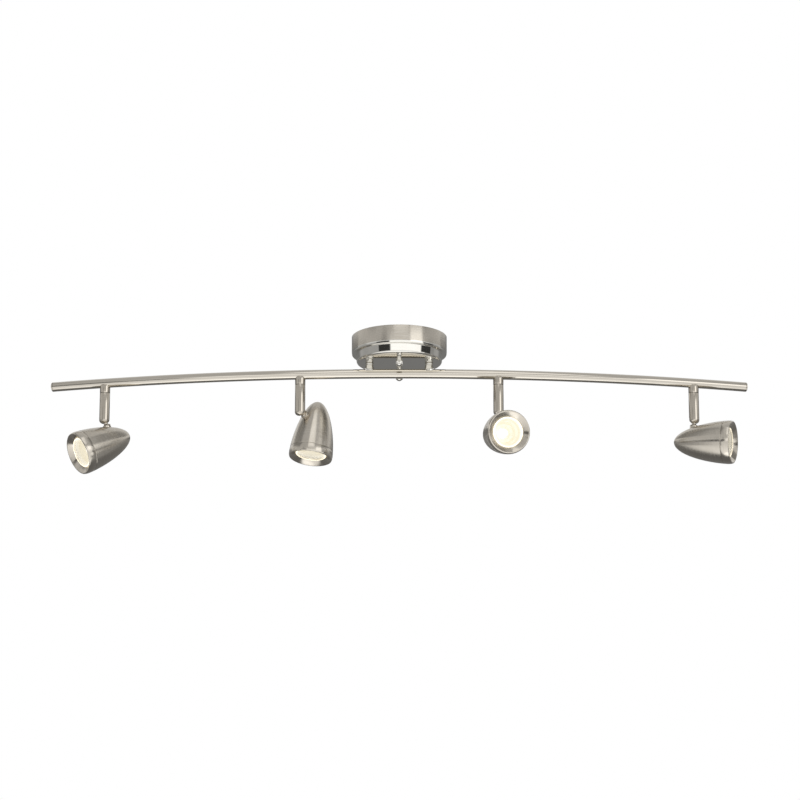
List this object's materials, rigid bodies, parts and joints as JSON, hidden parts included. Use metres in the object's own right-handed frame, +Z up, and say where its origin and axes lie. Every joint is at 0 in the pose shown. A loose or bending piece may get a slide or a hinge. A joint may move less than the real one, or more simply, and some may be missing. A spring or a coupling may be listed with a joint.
{
  "type": "ceiling track light",
  "caption": "Ceiling-mounted bar light: round canopy, bowed round tube and bullet-shaped spot heads, each on a swivelling stem with a tilting ball joint.",
  "frame": {"origin": "centre of the mounting plate's top face, which lies on the ceiling plane", "axes": "+Z up into the ceiling, X along the bar, and the bar bows towards -Y (the room's viewer)"},
  "size_m": [0.892, 0.1295, 0.1685],
  "materials": {
    "brushed_nickel": "brushed nickel plate, satin",
    "zinc_plated_steel": "bright zinc plate",
    "brass": "plain turned brass",
    "earth_screw": "green dyed zinc plate",
    "connector_plastic": "moulded",
    "wire_insulation": "extruded sheath",
    "lamp_plastic": "moulded, white",
    "lamp_lens": "frosted, lit warm white",
    "ceramic": "unglazed steatite"
  },
  "bodies": {
    "fixture": {"mounting_plate": "zinc_plated_steel", "canopy_stud_front": "zinc_plated_steel", "canopy_stud_back": "zinc_plated_steel", "cap_nut_front": "brushed_nickel", "cap_nut_back": "brushed_nickel", "ground_screw": "earth_screw", "canopy": "brushed_nickel", "post_left": "brushed_nickel", "post_right": "brushed_nickel", "post_nipple_left": "brass", "post_nipple_right": "brass", "post_lock_nut_left": "brass", "post_lock_nut_right": "brass", "end_cap_left": "brushed_nickel", "end_cap_right": "brushed_nickel", "wire_connector": "connector_plastic", "supply_lead": "wire_insulation", "bar_tube": "brushed_nickel", "bar_harness": "wire_insulation", "collar_1": "brushed_nickel", "swivel_screw_1": "brass", "collar_2": "brushed_nickel", "swivel_screw_2": "brass", "collar_3": "brushed_nickel", "swivel_screw_3": "brass", "collar_4": "brushed_nickel", "swivel_screw_4": "brass"},
    "stem_1": {"stem_1": "brushed_nickel"},
    "head_1": {"ball_stud_1": "brushed_nickel", "stud_nut_1": "zinc_plated_steel", "head_shell_1": "brushed_nickel", "bezel_1": "brushed_nickel", "lamp_body_1": "lamp_plastic", "lamp_lens_1": "lamp_lens", "lamp_holder_1": "ceramic"},
    "stem_2": {"stem_2": "brushed_nickel"},
    "head_2": {"ball_stud_2": "brushed_nickel", "stud_nut_2": "zinc_plated_steel", "head_shell_2": "brushed_nickel", "bezel_2": "brushed_nickel", "lamp_body_2": "lamp_plastic", "lamp_lens_2": "lamp_lens", "lamp_holder_2": "ceramic"},
    "stem_3": {"stem_3": "brushed_nickel"},
    "head_3": {"ball_stud_3": "brushed_nickel", "stud_nut_3": "zinc_plated_steel", "head_shell_3": "brushed_nickel", "bezel_3": "brushed_nickel", "lamp_body_3": "lamp_plastic", "lamp_lens_3": "lamp_lens", "lamp_holder_3": "ceramic"},
    "stem_4": {"stem_4": "brushed_nickel"},
    "head_4": {"ball_stud_4": "brushed_nickel", "stud_nut_4": "zinc_plated_steel", "head_shell_4": "brushed_nickel", "bezel_4": "brushed_nickel", "lamp_body_4": "lamp_plastic", "lamp_lens_4": "lamp_lens", "lamp_holder_4": "ceramic"}
  },
  "joints": [
    {"name": "head_1_swivel", "type": "hinge", "parent": "fixture", "child": "stem_1", "pos_m": [-0.375, 0.04544, -0.0959], "axis": [0, 0, 1], "range_deg": [-114, 236]},
    {"name": "head_1_tilt", "type": "hinge", "parent": "stem_1", "child": "head_1", "pos_m": [-0.375, 0.04544, -0.0959], "axis": [0.4848, -0.8746, 0], "range_deg": [-25, 65]},
    {"name": "head_2_swivel", "type": "hinge", "parent": "fixture", "child": "stem_2", "pos_m": [-0.125, 0.00498, -0.0959], "axis": [0, 0, 1], "range_deg": [-132.5, 217.5]},
    {"name": "head_2_tilt", "type": "hinge", "parent": "stem_2", "child": "head_2", "pos_m": [-0.125, 0.00498, -0.0959], "axis": [0.7373, -0.6756, 0], "range_deg": [-79.5, 10.5]},
    {"name": "head_3_swivel", "type": "hinge", "parent": "fixture", "child": "stem_3", "pos_m": [0.125, 0.00498, -0.0959], "axis": [0, 0, 1], "range_deg": [-189.5, 160.5]},
    {"name": "head_3_tilt", "type": "hinge", "parent": "stem_3", "child": "head_3", "pos_m": [0.125, 0.00498, -0.0959], "axis": [0.9681, 0.2504, 0], "range_deg": [-9.5, 80.5]},
    {"name": "head_4_swivel", "type": "hinge", "parent": "fixture", "child": "stem_4", "pos_m": [0.375, 0.04544, -0.0959], "axis": [0, 0, 1], "range_deg": [-246, 104]},
    {"name": "head_4_tilt", "type": "hinge", "parent": "stem_4", "child": "head_4", "pos_m": [0.375, 0.04544, -0.0959], "axis": [0.3256, 0.9455, 0], "range_deg": [-4.5, 85.5]}
  ]
}
